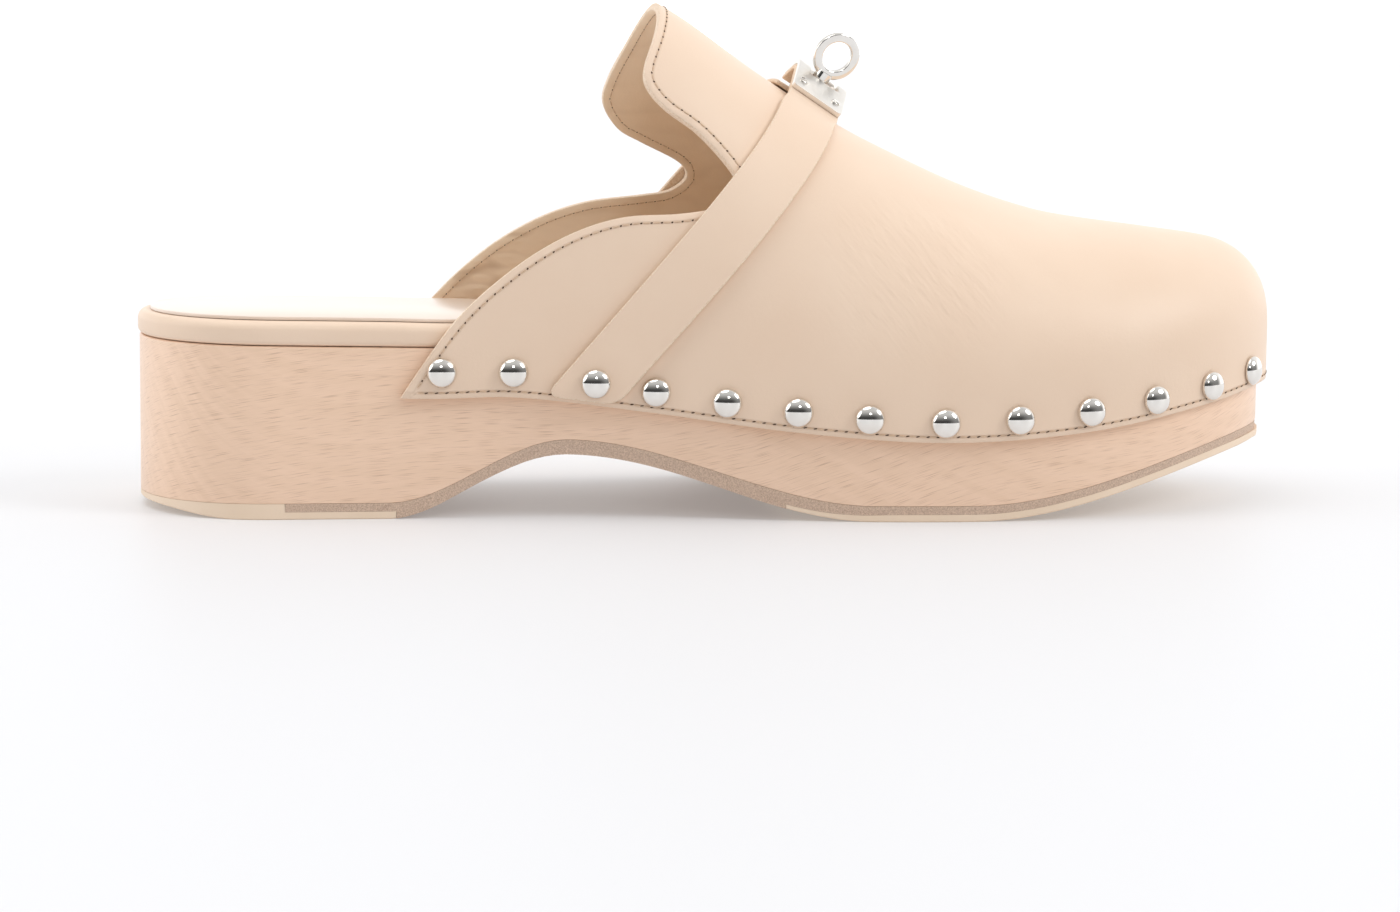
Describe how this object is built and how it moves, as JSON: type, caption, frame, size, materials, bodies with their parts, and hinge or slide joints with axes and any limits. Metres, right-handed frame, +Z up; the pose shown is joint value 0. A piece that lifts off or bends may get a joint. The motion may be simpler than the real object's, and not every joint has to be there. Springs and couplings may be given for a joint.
{
  "type": "wooden-soled mule shoe",
  "caption": "Open-heeled clog mule with a carved wooden sole, a studded leather upper, a high tongue and a narrow instep strap closed by a ring turn lock.",
  "frame": {"origin": "bottom centre of the shoe's bounding box, on the floor plane under the middle of the sole", "axes": "+X from the heel to the toe, +Y to the medial side of this right shoe, +Z up from the floor"},
  "size_m": [0.2555, 0.1014, 0.1104],
  "materials": {
    "beech": "sanded and oiled, matt",
    "taupe_rubber": "speckled, matt",
    "beige_rubber": "smooth, matt",
    "board_leather": "smooth, satin",
    "sock_leather": "glossed",
    "upper_leather": "smooth fine grain, satin",
    "nickel": "mirror polished"
  },
  "bodies": {
    "shoe": {"wood_sole": "beech", "runner": "taupe_rubber", "heel_lift": "beige_rubber", "forefoot_outsole": "beige_rubber", "footbed": "board_leather", "insole_sock": "sock_leather", "upper": "upper_leather", "strap_over": "upper_leather", "strap_under": "upper_leather", "lock_base": "nickel", "lock_plate": "nickel", "lock_screw_1": "nickel", "lock_screw_2": "nickel", "lock_screw_3": "nickel", "lock_screw_4": "nickel", "stud_lateral_01": "nickel", "stud_lateral_02": "nickel", "stud_lateral_03": "nickel", "stud_lateral_04": "nickel", "stud_lateral_05": "nickel", "stud_lateral_06": "nickel", "stud_lateral_07": "nickel", "stud_lateral_08": "nickel", "stud_lateral_09": "nickel", "stud_lateral_10": "nickel", "stud_lateral_11": "nickel", "stud_lateral_12": "nickel", "stud_lateral_13": "nickel", "stud_medial_01": "nickel", "stud_medial_02": "nickel", "stud_medial_03": "nickel", "stud_medial_04": "nickel", "stud_medial_05": "nickel", "stud_medial_06": "nickel", "stud_medial_07": "nickel", "stud_medial_08": "nickel", "stud_medial_09": "nickel", "stud_medial_10": "nickel", "stud_medial_11": "nickel", "stud_medial_12": "nickel", "stud_medial_13": "nickel"},
    "turn_ring": {"lock_ring": "nickel"}
  },
  "joints": [
    {"name": "lock_turn", "type": "hinge", "parent": "shoe", "child": "turn_ring", "pos_m": [0.02319, 0.0037, 0.09249], "axis": [0.5427, -0.1822, 0.8199], "range_deg": [-20, 70]}
  ]
}
